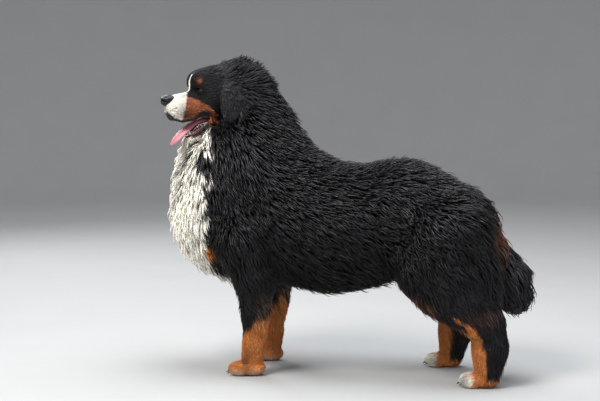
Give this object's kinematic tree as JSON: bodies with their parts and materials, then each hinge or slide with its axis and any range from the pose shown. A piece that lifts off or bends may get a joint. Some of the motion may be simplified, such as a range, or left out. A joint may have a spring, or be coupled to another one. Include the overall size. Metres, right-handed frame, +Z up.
{
  "type": "bernese mountain dog",
  "caption": "Large long-haired tricolour dog standing in profile, head turned a little, mouth open with the tongue out, bushy tail hanging.",
  "frame": {"origin": "on the floor under the middle of the dog's outline in plan", "axes": "+Z up, the dog faces -X, its left side is towards -Y"},
  "size_m": [1.1546, 0.4598, 0.9835],
  "materials": {
    "black_coat": "long slightly wavy black hair, soft with a cool sheen",
    "pale_coat": "soft cream-white hair of the jaw and bib",
    "rust_coat": "short rust-red hair of the lower legs",
    "nose_leather": "moist black pebbled nose leather and lip edges",
    "eye": "wet dark brown eye",
    "tongue": "moist pink tongue with a centre groove",
    "mouth": "moist dark pink lining and gums",
    "teeth": "ivory-white teeth",
    "claw": "dark horn, faintly ridged"
  },
  "bodies": {
    "root": {"chest": "black_coat", "loin": "black_coat", "rump": "black_coat", "neck": "black_coat", "head": "black_coat", "jaw": "pale_coat", "nose": "nose_leather", "tongue": "tongue", "eye_left": "eye", "ear_left": "black_coat", "eye_right": "eye", "ear_right": "black_coat", "foreleg_left": "black_coat", "forepaw_left": "rust_coat", "foreclaw_left_1": "claw", "foreclaw_left_2": "claw", "foreclaw_left_3": "claw", "foreclaw_left_4": "claw", "hindleg_left": "black_coat", "hindpaw_left": "rust_coat", "hindclaw_left_1": "claw", "hindclaw_left_2": "claw", "hindclaw_left_3": "claw", "hindclaw_left_4": "claw", "foreleg_right": "black_coat", "forepaw_right": "rust_coat", "foreclaw_right_1": "claw", "foreclaw_right_2": "claw", "foreclaw_right_3": "claw", "foreclaw_right_4": "claw", "hindleg_right": "black_coat", "hindpaw_right": "rust_coat", "hindclaw_right_1": "claw", "hindclaw_right_2": "claw", "hindclaw_right_3": "claw", "hindclaw_right_4": "claw", "tail_base": "black_coat", "tail_tip": "black_coat"}
  },
  "joints": []
}
